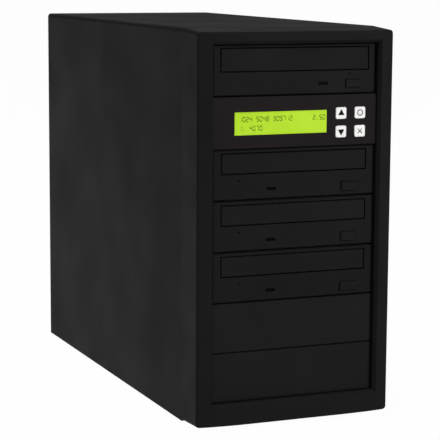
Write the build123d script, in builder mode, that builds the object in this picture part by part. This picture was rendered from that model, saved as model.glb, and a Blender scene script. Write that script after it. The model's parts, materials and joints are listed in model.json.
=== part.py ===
from build123d import *
import math
import os

os.makedirs("parts", exist_ok=True)

# A disc duplicator tower: seven half-height bays in a steel case, with a disc reader, a control
# panel, three disc writers and two blank covers. Millimetres, +Z up, the front facing -Y. The
# origin is on the floor, under the middle of the object.

# ---------------------------------------------------------------- driving dimensions

# Fits
slip = 0.3  # between pieces that slide or drop past each other
running = 0.05  # radial, between a shaft and its bore
screw_play = 0.1  # radial, between a screw and its hole

# Bays
bay_pitch = 42.6
blank_pitch = 41.9  # of the bays behind the blank covers
bay_width = 148.8
reader_bay = 1
panel_bay = 2
writer_bays = (3, 4, 5)
blank_bays = {"upper": 6, "lower": 7}

# Front bezel, a moulded frame round the bays
side_rail = 13.8
top_rail = 12.6
bottom_rail = 20.9
bezel_depth = 33.5
bezel_wall = 2.5
front_bow = 4.5  # how far the middle of the front stands out
shoulder_bow = 2.6  # how much of that is reached at the opening's sides
shoulder_tilt = 16.0  # degrees, of the front at its outer edges
top_fall = 2.3  # how far the top slopes down on its way to the front
bottom_rise = 1.6
seat_step = 0.5  # how far the bezel's underside is above the case's
corner_round = 3.2
outline_round = 1.6
lip_slope = 2.5  # at the opening's front edges

# Steel case
steel = 1.0
cover_length = 377.0
cover_inset = 0.5
cover_bend = 3.5
seam_gap = 0.8
hem_width = 8.0
rear_flange = 15.0
stiffening_flange = 12.0
cage_length = 150.0
cage_flange = 9.0
cage_window_length = 40.0
cage_window_height = 12.0
vent_length = 56.0
vent_height = 4.0
vent_pitch = 9.0
vent_count = 5
vent_drop = 26.0  # the top vent's distance below the rear panel's top

# Feet
foot_height = 4.0
foot_radius = 9.0
foot_stem_radius = 2.4
foot_inset_x = 29.0
foot_inset_y = 42.0

# Screws
thumb_head_length = 8.0
thumb_head_radius = 6.5
thumb_shank_radius = 1.7
thumb_shank_length = 8.0
thumb_inset = 42.0  # from the cover's top and bottom edges
thumb_edge = 9.5  # from the cover's sides
thumb_flutes = 18
thumb_flute_length = 5.6
thumb_flute_radius = 0.38
thumb_slot_length = 9.8
thumb_slot_width = 1.4
screw_radius = 1.4
screw_length = 4.5
fan_screw_length = 9.0
screw_head_radius = 2.8
screw_head_height = 1.8
screw_slot = 0.7

# Disc drives
drive_side_gap = 1.4  # from the bay opening, each side
drive_gap = 1.6  # between drives one above the other
drive_length = 165.0
face_recess = 3.0  # of the drives' faces behind the bezel's front corners
face_side_gap = 0.9
face_gap = 0.9
face_thick = 3.0
face_chamfer = 1.0
neck_depth = 6.0
neck_wall = 1.0
drive_hole_y = 47.4  # first screw hole behind the face's back
drive_hole_spacing = 79.2
drive_hole_height = 10.0
door_thick = 3.5
door_gap = 0.7
door_chamfer = 0.6
pinhole_radius = 0.7
tray_tail = 18.0  # what stays inside the drive when the tray is out
tray_thick = 5.0
tray_height = 5.0  # tray's underside above the drive's middle
tray_travel = 132.0
tray_slot_width = 41.0
tray_slot_lead = 20.0  # how far the slot starts ahead of the disc's centre
disc_lead = 4.9  # between the door and the disc's recess
disc_recess_radius = 60.6
disc_recess_depth = 2.0
small_disc_radius = 40.6
small_disc_depth = 3.2
tray_rim = 3.4  # beside the disc's recess
deck_floor = 3.0
deck_ledge = 8.0
deck_rise = 4.0  # of the deck's sides above the tray
hold_down_length = 14.0
hold_down_thick = 2.0
hold_down_reach = 2.0
traverse_thick = 3.0
traverse_drop = 2.0  # traverse plate's top below the drive's middle
traverse_lead = 28.0
post_length = 3.0
post_width = 7.0
rod_radius = 1.5
rod_offset = 19.0
rod_height = 3.0  # above the traverse plate
rotor_radius = 12.0
turntable_radius = 14.5
turntable_thick = 2.2
disc_lift = 1.0  # turntable's top above the tray's recess
hub_radius = 7.4
hub_height = 2.0
spindle_radius = 2.0
sled_length = 16.0
sled_thick = 5.6
sled_travel = 34.0
sled_start = 16.5  # sled's front end behind the disc's centre
lens_radius = 4.0
lens_height = 2.3
port_width = 42.0
port_height = 7.0
port_stand = 3.0  # how far the ports stand out of the housing
port_rise = 6.4  # ports' middle above the housing's underside

# Each kind of drive has its own front. Places are measured from the edges of its face; the lens's
# is from the middle, and the pinhole's starts from the side named.
reader_front = {
    "door_inset": 6.9,
    "door_height": 18.8,
    "door_drop": 12.4,  # the door's middle below the face's top
    "button": (13.8, 6.7),
    "button_at": (20.9, 8.3),  # from the right edge, above the bottom
    "led": (8.4, 2.8),
    "led_at": (24.9, 8.9),
    "pinhole_side": 1,
    "pinhole_at": (24.0, 16.4),
}
writer_front = {
    "door_inset": 8.0,
    "door_height": 16.5,
    "door_drop": 11.8,
    "button": (15.2, 7.6),
    "button_at": (22.8, 7.4),
    "led": (8.2, 2.6),
    "led_at": (-21.2, 8.4),
    "pinhole_side": -1,
    "pinhole_at": (23.8, 15.6),
}
button_proud = 1.2
button_round = 0.6
button_ear = 1.5
button_flange = 1.2
eject_travel = 1.0
led_recess = 0.9
led_flange = 1.0
led_flange_reach = 1.2

# Blank covers
blank_gap = 0.6
blank_thick = 2.5
blank_rim = 8.0
blank_rim_wall = 1.5
blank_arm_length = 24.0
blank_arm_height = 16.0

# Control panel
panel_proud = 1.4  # of the drives' faces
panel_side_gap = 0.3
panel_gap = 0.3
overlay_thick = 1.2
panel_body_inset = 0.4  # behind the overlay's edges
panel_front_wall = 2.0
panel_wall = 2.0
panel_body_depth = 15.0
window_width = 83.2
window_height = 18.9
window_at = (-13.3, -0.8)  # from the middle of the panel
glass_recess = 0.3
lcd_frame_margin = 3.2  # round the window
lcd_frame_depth = 5.0
lcd_board_margin = 1.5  # beside the frame
lcd_board_gap = 0.9  # from the panel's walls, above and below
board_thick = 1.6
key_size = 9.7
key_round = 1.5
key_gap = 0.3
key_columns = (41.2, 58.7)
key_rows = (5.6, -9.8)
key_proud = 0.8
key_depth = 3.4
key_flange = 1.0
key_flange_reach = 0.9
key_stem_radius = 2.0
key_travel = 0.8
keypad_left_margin = 6.4  # from the middles of the outer keys
keypad_right_margin = 11.0
keypad_gap = 1.4  # from the panel's walls, above and below
switch_size = 6.0
switch_height = 3.2
boss_radius = 2.2

# Controller, on a bracket of its own behind the panel
bracket_gap = 5.0  # between the bracket's sides and the top of its bay
controller_margin = 7.0  # inside the bracket's outer faces
controller_length = 118.0
controller_lift = 6.0
controller_inset = 8.0  # behind the bracket's front
standoff_radius = 3.0
standoff_inset_x = 6.0
standoff_inset_y = 12.0
chips = ((-30.0, 30.0), (24.0, 18.0), (48.0, 12.0))  # each one's middle across the board, and its size
chip_height = 2.5
controller_port_height = 9.0
controller_port_depth = 14.0
data_port_width = 14.0
data_port_pitch = 18.0
data_port_shift = 26.0  # of the row of ports, to the left of the board's middle
power_port_width = 28.0
power_port_inset = 7.0

# Power supply
psu_width = 150.0
psu_fan_margin = 3.0  # above and below the supply's fan
psu_fan_inset = 12.0  # beside it
psu_length = 140.0
psu_screw_inset = 6.0
socket_inset = 29.0  # the inlet's and the rocker's middles from the supply's other side
inlet_rise = 17.0  # above the supply's middle
inlet_width = 27.0
inlet_height = 20.0
inlet_depth = 17.0
inlet_flange = 3.0
inlet_proud = 1.5
inlet_wall = 2.0
inlet_round = 1.0
prong_length = 12.0
prong_width = 2.0
prong_height = 4.0
prong_spread = 7.0
prong_step = 4.0
rocker_drop = 20.0
rocker_width = 19.0
rocker_height = 13.0
rocker_wall = 1.5
rocker_depth = 10.0
rocker_pin_radius = 1.2
rocker_rise = 1.6
rocker_swing = 12.0  # degrees
supply_vent_count = 9
supply_vent_length = 70.0
supply_vent_width = 4.0
supply_vent_pitch = 9.0

# Fans
fan_size = 80.0
fan_depth = 25.0
fan_rim = 2.0  # between the bore and the fan's sides
fan_corner = 4.0
fan_screw_inset = 4.25
fan_hub_radius = 17.0
fan_hub_thick = 4.0
fan_strut = 4.0
fan_pin_radius = 1.5
fan_pin_length = 12.0
blade_count = 7
blade_gap = 1.2
blade_thick = 1.4
blade_chord = 17.0
blade_angle = 38.0
rotor_depth = 19.0
rotor_skin = 2.0
exhaust_fan_height = 185.0  # fan's middle above the floor
guard_wire = 0.9
guard_weld = 0.4  # how deep the rings are welded into the straight wires
guard_ring_count = 4
guard_ring_inset = 5.0  # the outer ring's, from the bore
guard_ring_pitch = 8.0
guard_eye = 3.6
guard_eye_thick = 1.2

# Cables
data_cable_radius = 2.5
power_cable_radius = 3.0
plug_width = 15.0
plug_height = 5.5
plug_length = 14.0
cable_out = 35.0  # first run behind a plug
cable_nest = 9.0  # each further cable's loop stands out by this much more
cable_belly = 6.0  # how far a long run bellies out
long_run = 75.0
round_share = 0.45  # of the shorter run beside a corner, used up by its round

# ---------------------------------------------------------------- places

drive_bay_count = len((reader_bay, panel_bay, *writer_bays))
bay_count = drive_bay_count + len(blank_bays)
half_case = bay_width / 2 + side_rail
case_bottom = foot_height
opening_bottom = case_bottom + bottom_rail
blanks_top = opening_bottom + len(blank_bays) * blank_pitch
opening_top = blanks_top + drive_bay_count * bay_pitch
case_top = opening_top + top_rail

overall_length = front_bow + bezel_depth + cover_length + thumb_head_length
bezel_front = front_bow - overall_length / 2
seam_y = bezel_front + bezel_depth
cover_back = seam_y + cover_length

half_cover = half_case - cover_inset
half_inside = half_cover - steel
chassis_half = half_inside - slip
chassis_top = case_top - steel - slip
pan_bottom = case_bottom + steel + slip
pan_top = pan_bottom + steel
rear_y = cover_back - steel - slip
rear_inner = rear_y - steel

drive_width = bay_width - 2 * drive_side_gap
drive_height = bay_pitch - drive_gap
face_width = bay_width - 2 * face_side_gap
face_height = bay_pitch - face_gap
blank_height = blank_pitch - blank_gap
disc_centre = door_thick + disc_lead + disc_recess_radius  # behind the face
tray_width = 2 * (disc_recess_radius + tray_rim)
tray_length = tray_travel + tray_tail

face_y = bezel_front + face_recess
housing_front = face_y + face_thick
housing_back = housing_front + drive_length
cage_half = drive_width / 2 + slip
cage_front = seam_y + steel
cage_back = cage_front + cage_length
hole_ys = (housing_front + drive_hole_y, housing_front + drive_hole_y + drive_hole_spacing)
hole_radius = screw_radius + screw_play

fan_bore = fan_size / 2 - fan_rim
fan_screw_spacing = fan_size - 2 * fan_screw_inset
guard_rings = [fan_bore - guard_ring_inset - index * guard_ring_pitch for index in range(guard_ring_count)]
psu_height = fan_size + 2 * psu_fan_margin
psu_bottom = pan_top
psu_middle = psu_bottom + psu_height / 2
psu_front = rear_inner - psu_length

overlay_width = bay_width - 2 * panel_side_gap
overlay_height = bay_pitch - panel_gap
panel_body_width = overlay_width - 2 * panel_body_inset
panel_body_height = overlay_height - 2 * panel_body_inset
panel_inner_height = panel_body_height - 2 * panel_wall
panel_y = face_y - panel_proud
panel_wall_back = panel_y + overlay_thick + panel_front_wall
panel_back = panel_y + overlay_thick + panel_body_depth


def bay_middle(bay):
    """Height of the middle of a bay, counted from 1 at the top, with the blank bays lowest."""
    if bay > drive_bay_count:
        return blanks_top - (bay - drive_bay_count - 0.5) * blank_pitch
    return opening_top - (bay - 0.5) * bay_pitch


def upright(y):
    """A sketch plane at depth y, drawn as seen from the front: its x is +X, its y is +Z."""
    return Plane(origin=(0, y, 0), x_dir=(1, 0, 0), z_dir=(0, -1, 0))


def block(x, y, z, mode=Mode.ADD):
    """A box between two limits each way, in the part being built."""
    with Locations(((x[0] + x[1]) / 2, (y[0] + y[1]) / 2, (z[0] + z[1]) / 2)):
        Box(x[1] - x[0], y[1] - y[0], z[1] - z[0], mode=mode)


def rod(x, z, y, radius, mode=Mode.ADD):
    """A round bar along Y, between the two depths y."""
    with BuildSketch(upright(y[1])) as disc:
        with Locations((x, z)):
            Circle(radius)
    extrude(disc.sketch, amount=y[1] - y[0], mode=mode)


def cross_rod(x, y, z, radius, mode=Mode.ADD):
    """A round bar along X, between the two limits x."""
    with BuildSketch(Plane.YZ.offset(x[0])) as disc:
        with Locations((y, z)):
            Circle(radius)
    extrude(disc.sketch, amount=x[1] - x[0], mode=mode)


def save(part, name):
    """Labels a finished piece and writes it."""
    part.label = name
    export_step(part, f"parts/{name}.step")


# ---------------------------------------------------------------- front bezel


def bowed_block(inset, front_wall):
    """The bezel's outside, bowed at the front and tapered above and below, drawn in by inset."""
    half = half_case - inset
    front = bezel_front + front_wall
    nose = front - front_bow
    shoulder = (half - side_rail, front - shoulder_bow)
    tilt = math.tan(math.radians(shoulder_tilt))
    share = (seam_y - nose) / bezel_depth  # carries the slopes on to the nose
    low = case_bottom + seat_step + inset
    high = case_top - inset
    with BuildPart() as shape:
        with BuildSketch(Plane.XY.offset(low)):
            with BuildLine():
                Polyline((half, front), (half, seam_y), (-half, seam_y), (-half, front))
                Spline(
                    (-half, front),
                    (-shoulder[0], shoulder[1]),
                    (0, nose),
                    shoulder,
                    (half, front),
                    tangents=((1, -tilt), (1, tilt)),
                )
            make_face()
        extrude(amount=high - low)
        with BuildSketch(Plane.YZ.offset(-half)):
            with BuildLine():
                Polyline(
                    (seam_y, low),
                    (nose, low + bottom_rise * share),
                    (nose, high - top_fall * share),
                    (seam_y, high),
                    close=True,
                )
            make_face()
        extrude(amount=2 * half, mode=Mode.INTERSECT)
    return shape.part


bezel_outside = bowed_block(0, 0)
bezel_core = bowed_block(bezel_wall, bezel_wall)

with BuildPart() as bezel_hollow:
    add(bezel_core)
    block(
        (-bay_width / 2 - bezel_wall, bay_width / 2 + bezel_wall),
        (bezel_front - 2 * front_bow, seam_y),
        (opening_bottom - bezel_wall, opening_top + bezel_wall),
        mode=Mode.SUBTRACT,
    )

with BuildPart() as front_bezel:
    add(bezel_outside)
    long_corners = front_bezel.edges().filter_by(lambda e: abs((e % 0.5).Y) > 0.9)
    fillet(long_corners, corner_round)
    fillet(front_bezel.faces().sort_by(Axis.Y)[0].edges(), outline_round)
    block(
        (-bay_width / 2, bay_width / 2),
        (bezel_front - 2 * front_bow, seam_y),
        (opening_bottom, opening_top),
        mode=Mode.SUBTRACT,
    )
    # The opening's front edges slope down to the bays.
    lip_edges = front_bezel.edges().filter_by(
        lambda edge: edge.bounding_box().max.Y < bezel_front
        and abs((edge @ 0.5).X) < bay_width / 2 + slip
        and opening_bottom - slip < (edge @ 0.5).Z < opening_top + slip
    )
    chamfer(lip_edges, lip_slope)
    add(bezel_hollow.part, mode=Mode.SUBTRACT)
save(front_bezel.part, "front_bezel")

# ---------------------------------------------------------------- steel case

cover_front = seam_y + seam_gap
thumb_x = half_cover - thumb_edge
thumb_spots = [
    (side * thumb_x, z)
    for side in (-1, 1)
    for z in (case_bottom + thumb_inset, case_top - thumb_inset)
]

with BuildPart() as wrap_cover:
    # One sheet over both sides and the top, open below and in front.
    with BuildSketch(upright(cover_back)):
        with Locations((0, (case_bottom + case_top) / 2)):
            outline = Rectangle(2 * half_cover, case_top - case_bottom)
        fillet(outline.vertices().group_by(Axis.Y)[-1], cover_bend)
    extrude(amount=cover_back - cover_front)
    with BuildSketch(upright(cover_back - steel)):
        with Locations((0, (case_bottom + case_top) / 2)):
            inner = Rectangle(2 * half_inside, case_top - case_bottom - 2 * steel)
        fillet(inner.vertices().group_by(Axis.Y)[-1], cover_bend - steel)
    extrude(amount=cover_back - steel - cover_front, mode=Mode.SUBTRACT)
    # The underside keeps a hem each side, and the back a flange on three sides.
    block(
        (hem_width - half_cover, half_cover - hem_width),
        (cover_front, cover_back),
        (case_bottom, case_bottom + steel),
        mode=Mode.SUBTRACT,
    )
    block(
        (rear_flange - half_cover, half_cover - rear_flange),
        (cover_back - steel, cover_back),
        (case_bottom, case_top - rear_flange),
        mode=Mode.SUBTRACT,
    )
    for x, z in thumb_spots:
        rod(x, z, (cover_back - steel, cover_back), thumb_shank_radius + screw_play, Mode.SUBTRACT)
save(wrap_cover.part, "wrap_cover")

with BuildPart() as thumb_screws:
    for x, z in thumb_spots:
        rod(x, z, (cover_back, cover_back + thumb_head_length), thumb_head_radius)
        rod(x, z, (cover_back - thumb_shank_length, cover_back), thumb_shank_radius)
    with BuildSketch(upright(cover_back + thumb_head_length)):
        with Locations(*thumb_spots):
            with PolarLocations(thumb_head_radius, thumb_flutes):
                Circle(thumb_flute_radius)
    extrude(amount=thumb_flute_length, mode=Mode.SUBTRACT)
    with BuildSketch(upright(cover_back + thumb_head_length)):
        with Locations(*thumb_spots):
            Rectangle(thumb_slot_length, thumb_slot_width)
    extrude(amount=thumb_slot_width, mode=Mode.SUBTRACT)
save(thumb_screws.part, "thumb_screws")

with BuildPart() as front_plate:
    # A steel frame that the bezel sits on, with its edges folded back.
    block((-chassis_half, chassis_half), (seam_y, seam_y + stiffening_flange), (pan_top, chassis_top))
    block(
        (steel - chassis_half, chassis_half - steel),
        (seam_y + steel, seam_y + stiffening_flange),
        (pan_top, chassis_top - steel),
        mode=Mode.SUBTRACT,
    )
    block(
        (-bay_width / 2, bay_width / 2),
        (seam_y, seam_y + steel),
        (opening_bottom, opening_top),
        mode=Mode.SUBTRACT,
    )
    top_edges = front_plate.edges().filter_by(Axis.Y).group_by(Axis.Z)[-1]
    fillet(top_edges, cover_bend - steel)
save(front_plate.part, "front_plate")

foot_xs = (foot_inset_x - half_case, half_case - foot_inset_x)
foot_ys = (seam_y + foot_inset_y, cover_back - foot_inset_y)
upturn = (seam_y + stiffening_flange + slip, rear_inner - stiffening_flange - slip)

with BuildPart() as base_pan:
    block((-chassis_half, chassis_half), (seam_y, rear_y), (pan_bottom, pan_top))
    for x in (-chassis_half, chassis_half - steel):
        block((x, x + steel), upturn, (pan_top, pan_top + stiffening_flange))
    with BuildSketch(Plane.XY.offset(pan_bottom)):
        with Locations(*[(x, y) for x in foot_xs for y in foot_ys]):
            Circle(foot_stem_radius + running)
    extrude(amount=steel, mode=Mode.SUBTRACT)
save(base_pan.part, "base_pan")

with BuildPart() as feet:
    with BuildSketch():
        with Locations(*[(x, y) for x in foot_xs for y in foot_ys]):
            Circle(foot_radius)
    extrude(amount=pan_bottom)
    chamfer(feet.edges().group_by(Axis.Z)[0], foot_height / 5)
    with BuildSketch(Plane.XY.offset(pan_bottom)):
        with Locations(*[(x, y) for x in foot_xs for y in foot_ys]):
            Circle(foot_stem_radius)
    extrude(amount=steel)
save(feet.part, "feet")

with BuildPart() as bay_cage:
    # One folded sheet: a wall each side of the drives and a roof, on outward flanges.
    wall_top = opening_top + steel
    block((-cage_half - steel, cage_half + steel), (cage_front, cage_back), (pan_top, wall_top))
    block((-cage_half, cage_half), (cage_front, cage_back), (pan_top, opening_top), mode=Mode.SUBTRACT)
    for side in (-1, 1):
        flange = sorted((side * cage_half, side * (cage_half + steel + cage_flange)))
        block(flange, (cage_front, cage_front + steel), (pan_top, wall_top))
        block(flange, (cage_front, cage_back), (pan_top, pan_top + steel))
    for bay in range(1, bay_count + 1):
        middle = bay_middle(bay)
        hole_z = middle - drive_height / 2 + drive_hole_height
        for y in hole_ys:
            cross_rod((-cage_half - steel, cage_half + steel), y, hole_z, hole_radius, Mode.SUBTRACT)
        window_middle = (hole_ys[0] + hole_ys[1]) / 2
        block(
            (-cage_half - steel, cage_half + steel),
            (window_middle - cage_window_length / 2, window_middle + cage_window_length / 2),
            (middle - cage_window_height / 2, middle + cage_window_height / 2),
            mode=Mode.SUBTRACT,
        )
save(bay_cage.part, "bay_cage")

psu_screws = [
    (sx * (psu_width / 2 - psu_screw_inset), psu_middle + sz * (psu_height / 2 - psu_screw_inset))
    for sx in (-1, 1)
    for sz in (-1, 1)
]
exhaust_at = (0.0, exhaust_fan_height)
psu_fan_at = (psu_fan_inset + fan_size / 2 - psu_width / 2, psu_middle)


def fan_corners(at):
    """The four screw places of a fan."""
    half = fan_screw_spacing / 2
    return [(at[0] + sx * half, at[1] + sz * half) for sx in (-1, 1) for sz in (-1, 1)]


with BuildPart() as rear_panel:
    block(
        (-chassis_half, chassis_half),
        (rear_inner - stiffening_flange, rear_y),
        (pan_top, chassis_top),
    )
    block(
        (steel - chassis_half, chassis_half - steel),
        (rear_inner - stiffening_flange, rear_inner),
        (pan_top, chassis_top - steel),
        mode=Mode.SUBTRACT,
    )
    top_edges = rear_panel.edges().filter_by(Axis.Y).group_by(Axis.Z)[-1]
    fillet(top_edges, cover_bend - steel)
    with BuildSketch(upright(rear_y)):
        # The supply shows through a cross-shaped window that leaves a tab at each screw.
        tab = 2 * psu_screw_inset
        with Locations((0, psu_middle)):
            Rectangle(psu_width - 2 * tab, psu_height - tab / 2)
            Rectangle(psu_width - tab / 2, psu_height - 2 * tab - tab / 2)
        with Locations(exhaust_at):
            Circle(fan_bore - steel)
        with Locations(*fan_corners(exhaust_at), *psu_screws):
            Circle(hole_radius)
        with Locations(*thumb_spots):
            Circle(thumb_shank_radius + screw_play)
        with Locations((0, chassis_top - vent_drop - vent_pitch * (vent_count - 1) / 2)):
            with GridLocations(vent_length + 2 * vent_height, vent_pitch, 2, vent_count):
                SlotOverall(vent_length, vent_height)
    extrude(amount=rear_y - rear_inner, mode=Mode.SUBTRACT)
save(rear_panel.part, "rear_panel")

# ---------------------------------------------------------------- fans


def fan_frame(at, back):
    """A square fan housing whose back is at depth back, with a hub on four struts."""
    front = back - fan_depth
    with BuildPart() as frame:
        with BuildSketch(upright(back)):
            with Locations(at):
                RectangleRounded(fan_size, fan_size, fan_corner)
                Circle(fan_bore, mode=Mode.SUBTRACT)
            with Locations(*fan_corners(at)):
                Circle(hole_radius, mode=Mode.SUBTRACT)
        extrude(amount=fan_depth)
        with BuildSketch(upright(back)):
            with Locations(at):
                Circle(fan_hub_radius)
                with PolarLocations(fan_bore / 2, 4, start_angle=45):
                    Rectangle(fan_bore + fan_corner / 2, fan_strut)
        extrude(amount=fan_hub_thick)
        rod(*at, (back - fan_hub_thick - fan_pin_length, back - fan_hub_thick), fan_pin_radius)
    return frame.part


def fan_rotor(at, back):
    """The turning part of a fan: a cup over the hub, a ring of blades and the sleeve on its pin."""
    rotor_back = back - fan_hub_thick - slip * 2
    rotor_front = rotor_back - rotor_depth
    with BuildPart() as rotor:
        rod(*at, (rotor_front, rotor_back), fan_hub_radius)
        rod(*at, (rotor_front + rotor_skin, rotor_back), fan_hub_radius - rotor_skin, Mode.SUBTRACT)
        rod(*at, (rotor_front, rotor_back), fan_pin_radius + 2 * rotor_skin)
        fillet(rotor.faces().sort_by(Axis.Y)[0].edges(), rotor_skin / 2)
        for turn in range(blade_count):
            angle = math.radians(360 / blade_count * turn)
            outward = Vector(math.cos(angle), 0, math.sin(angle))
            root = Vector(at[0], (rotor_front + rotor_back) / 2, at[1])
            root += outward * (fan_hub_radius - rotor_skin / 2)
            with BuildSketch(Plane(origin=root, x_dir=(0, 1, 0), z_dir=outward)):
                Rectangle(blade_chord, blade_thick, rotation=blade_angle)
            extrude(amount=fan_bore - blade_gap - fan_hub_radius + rotor_skin / 2)
        rod(*at, (rotor_front + rotor_skin, rotor_back), fan_pin_radius + running, Mode.SUBTRACT)
    return rotor.part


with BuildPart() as fan_frames:
    add(fan_frame(exhaust_at, rear_inner))
    add(fan_frame(psu_fan_at, rear_inner - steel))
save(fan_frames.part, "fan_frames")

exhaust_fan_rotor = fan_rotor(exhaust_at, rear_inner)
save(exhaust_fan_rotor, "exhaust_fan_rotor")
psu_fan_rotor = fan_rotor(psu_fan_at, rear_inner - steel)
save(psu_fan_rotor, "psu_fan_rotor")


def fan_guard(at, seat):
    """A wire guard that lies on the face at depth seat: rings on a cross of straight wires."""
    ring_y = seat + 3 * guard_wire - guard_weld
    reach = fan_screw_spacing / math.sqrt(2) - screw_head_radius - screw_play
    with BuildPart() as guard:
        for radius in guard_rings:
            with Locations(Location((at[0], ring_y, at[1]), (90, 0, 0))):
                Torus(radius, guard_wire)
        for angle in (45, 135):
            direction = Vector(math.cos(math.radians(angle)), 0, math.sin(math.radians(angle)))
            start = Vector(at[0], seat + guard_wire, at[1]) - direction * reach
            with BuildSketch(Plane(origin=start, z_dir=direction)):
                Circle(guard_wire)
            extrude(amount=2 * reach)
        for x, z in fan_corners(at):
            rod(x, z, (seat, seat + guard_eye_thick), guard_eye)
        for x, z in fan_corners(at):
            rod(x, z, (seat, ring_y + guard_wire), hole_radius, Mode.SUBTRACT)
    return guard.part


with BuildPart() as fan_guards:
    add(fan_guard(exhaust_at, rear_y))
    add(fan_guard(psu_fan_at, rear_inner))
save(fan_guards.part, "fan_guards")

# ---------------------------------------------------------------- power supply

inlet_x, inlet_z = psu_width / 2 - socket_inset, psu_middle + inlet_rise
rocker_x, rocker_z = inlet_x, psu_middle - rocker_drop

with BuildPart() as psu_case:
    supply = ((-psu_width / 2, psu_width / 2), (psu_front, rear_inner), (psu_bottom, psu_bottom + psu_height))
    block(*supply)
    block(*[(low + steel, high - steel) for low, high in supply], mode=Mode.SUBTRACT)
    with BuildSketch(upright(rear_inner)):
        with Locations(psu_fan_at):
            Circle(fan_bore - steel)
        with Locations(*fan_corners(psu_fan_at), *psu_screws):
            Circle(hole_radius)
        with Locations((inlet_x, inlet_z)):
            Rectangle(inlet_width + 2 * slip, inlet_height + 2 * slip)
        with Locations((rocker_x, rocker_z)):
            Rectangle(rocker_width + 2 * slip, rocker_height + 2 * slip)
    extrude(amount=steel, mode=Mode.SUBTRACT)
    with BuildSketch(Plane.XY.offset(psu_bottom + psu_height - steel)):
        with Locations((0, (psu_front + rear_inner - fan_depth) / 2)):
            with GridLocations(supply_vent_pitch, 1, supply_vent_count, 1):
                SlotOverall(supply_vent_length, supply_vent_width, rotation=90)
    extrude(amount=steel, mode=Mode.SUBTRACT)
save(psu_case.part, "psu_case")

with BuildPart() as mains_inlet:
    # A three-pin appliance inlet: flange, shrouded socket and three flat prongs.
    shell_x = (inlet_x - inlet_width / 2, inlet_x + inlet_width / 2)
    shell_z = (inlet_z - inlet_height / 2, inlet_z + inlet_height / 2)
    mouth = rear_inner + inlet_proud
    block(shell_x, (mouth - inlet_depth, mouth), shell_z)
    block(
        (shell_x[0] - inlet_flange, shell_x[1] + inlet_flange),
        (rear_inner, mouth),
        (shell_z[0] - inlet_flange, shell_z[1] + inlet_flange),
    )
    fillet(mains_inlet.edges().filter_by(Axis.Y), inlet_round)
    block(
        (shell_x[0] + inlet_wall, shell_x[1] - inlet_wall),
        (mouth - inlet_depth + inlet_wall, mouth),
        (shell_z[0] + inlet_wall, shell_z[1] - inlet_wall),
        mode=Mode.SUBTRACT,
    )
    socket_floor = mouth - inlet_depth + inlet_wall
    for x, z in ((-prong_spread, -prong_step / 2), (prong_spread, -prong_step / 2), (0, prong_step / 2)):
        block(
            (inlet_x + x - prong_width / 2, inlet_x + x + prong_width / 2),
            (socket_floor, socket_floor + prong_length),
            (inlet_z + z - prong_height / 2, inlet_z + z + prong_height / 2),
        )
save(mains_inlet.part, "mains_inlet")

rocker_half = rocker_height / 2 - rocker_wall - slip
rocker_pivot_y = rear_inner - rocker_depth / 2

with BuildPart() as rocker_frame:
    frame_x = (rocker_x - rocker_width / 2, rocker_x + rocker_width / 2)
    frame_z = (rocker_z - rocker_height / 2, rocker_z + rocker_height / 2)
    block(frame_x, (rear_inner - rocker_depth, rear_inner), frame_z)
    block(
        (frame_x[0] - rocker_wall, frame_x[1] + rocker_wall),
        (rear_inner, rear_inner + inlet_proud),
        (frame_z[0] - rocker_wall, frame_z[1] + rocker_wall),
    )
    block(
        (frame_x[0] + rocker_wall, frame_x[1] - rocker_wall),
        (rear_inner - rocker_depth + rocker_wall, rear_inner + inlet_proud),
        (frame_z[0] + rocker_wall, frame_z[1] - rocker_wall),
        mode=Mode.SUBTRACT,
    )
    cross_rod(frame_x, rocker_pivot_y, rocker_z, rocker_pin_radius + running, Mode.SUBTRACT)

with BuildPart() as mains_rocker:
    # At rest the lower half stands out, and the upper half is pressed in: the supply is off.
    swing = math.radians(rocker_swing)
    paddle_x = (frame_x[0] + rocker_wall + slip, frame_x[1] - rocker_wall - slip)
    mouth = rear_inner + inlet_proud
    paddle_half = rocker_half / math.cos(swing) - (mouth - rocker_pivot_y) * math.tan(swing)
    with BuildSketch(Plane.YZ.offset(paddle_x[0])):
        with BuildLine():
            Polyline(
                (rocker_pivot_y - 2 * rocker_pin_radius, rocker_z),
                (rocker_pivot_y, rocker_z - paddle_half),
                (mouth + rocker_rise + paddle_half * math.sin(swing), rocker_z - paddle_half),
                (mouth + rocker_rise / 2, rocker_z),
                (mouth + rocker_rise - paddle_half * math.sin(swing), rocker_z + paddle_half),
                (rocker_pivot_y, rocker_z + paddle_half),
                close=True,
            )
        make_face()
    extrude(amount=paddle_x[1] - paddle_x[0])
    cross_rod(
        (frame_x[0] + running, frame_x[1] - running), rocker_pivot_y, rocker_z, rocker_pin_radius
    )
save(mains_rocker.part, "mains_rocker")
save(rocker_frame.part, "rocker_frame")

# ---------------------------------------------------------------- disc drives


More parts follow.
